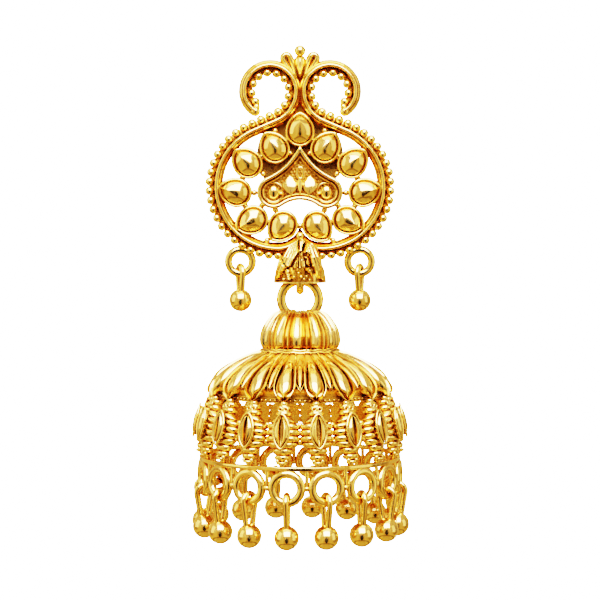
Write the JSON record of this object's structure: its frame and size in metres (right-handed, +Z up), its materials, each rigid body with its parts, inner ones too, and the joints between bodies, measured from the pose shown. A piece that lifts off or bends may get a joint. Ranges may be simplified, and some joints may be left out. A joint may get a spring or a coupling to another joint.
{
  "type": "jhumka drop earring",
  "caption": "Drop earring: a pierced round stud plate with scrolls and teardrop cells, a ringed and fluted bell hung from its hook, and small ball drops on wire links.",
  "frame": {"origin": "middle of the ear pad's back face, where it meets the lobe and the post leaves it", "axes": "+Z up as worn, -Y the side that shows, +Y along the post into the lobe, +X to the viewer's right"},
  "size_m": [0.0272, 0.0272, 0.0611],
  "materials": {
    "plated_gold": "polished yellow gold plating"
  },
  "bodies": {
    "stud": {"stud_plate": "plated_gold", "ear_post": "plated_gold", "side_drop_left": "plated_gold", "side_drop_right": "plated_gold"},
    "bell": {"jhumka_bell": "plated_gold", "bell_drop_01": "plated_gold", "bell_drop_02": "plated_gold", "bell_drop_03": "plated_gold", "bell_drop_04": "plated_gold", "bell_drop_05": "plated_gold", "bell_drop_06": "plated_gold", "bell_drop_07": "plated_gold", "bell_drop_08": "plated_gold", "bell_drop_09": "plated_gold", "bell_drop_10": "plated_gold", "bell_drop_11": "plated_gold", "bell_drop_12": "plated_gold", "bell_drop_13": "plated_gold", "bell_drop_14": "plated_gold", "bell_drop_15": "plated_gold", "bell_drop_16": "plated_gold"}
  },
  "joints": [
    {"name": "bell_swing", "type": "hinge", "parent": "stud", "child": "bell", "pos_m": [0, -0.0018, -0.01515], "axis": [1, 0, 0], "range_deg": [-45, 45]}
  ]
}
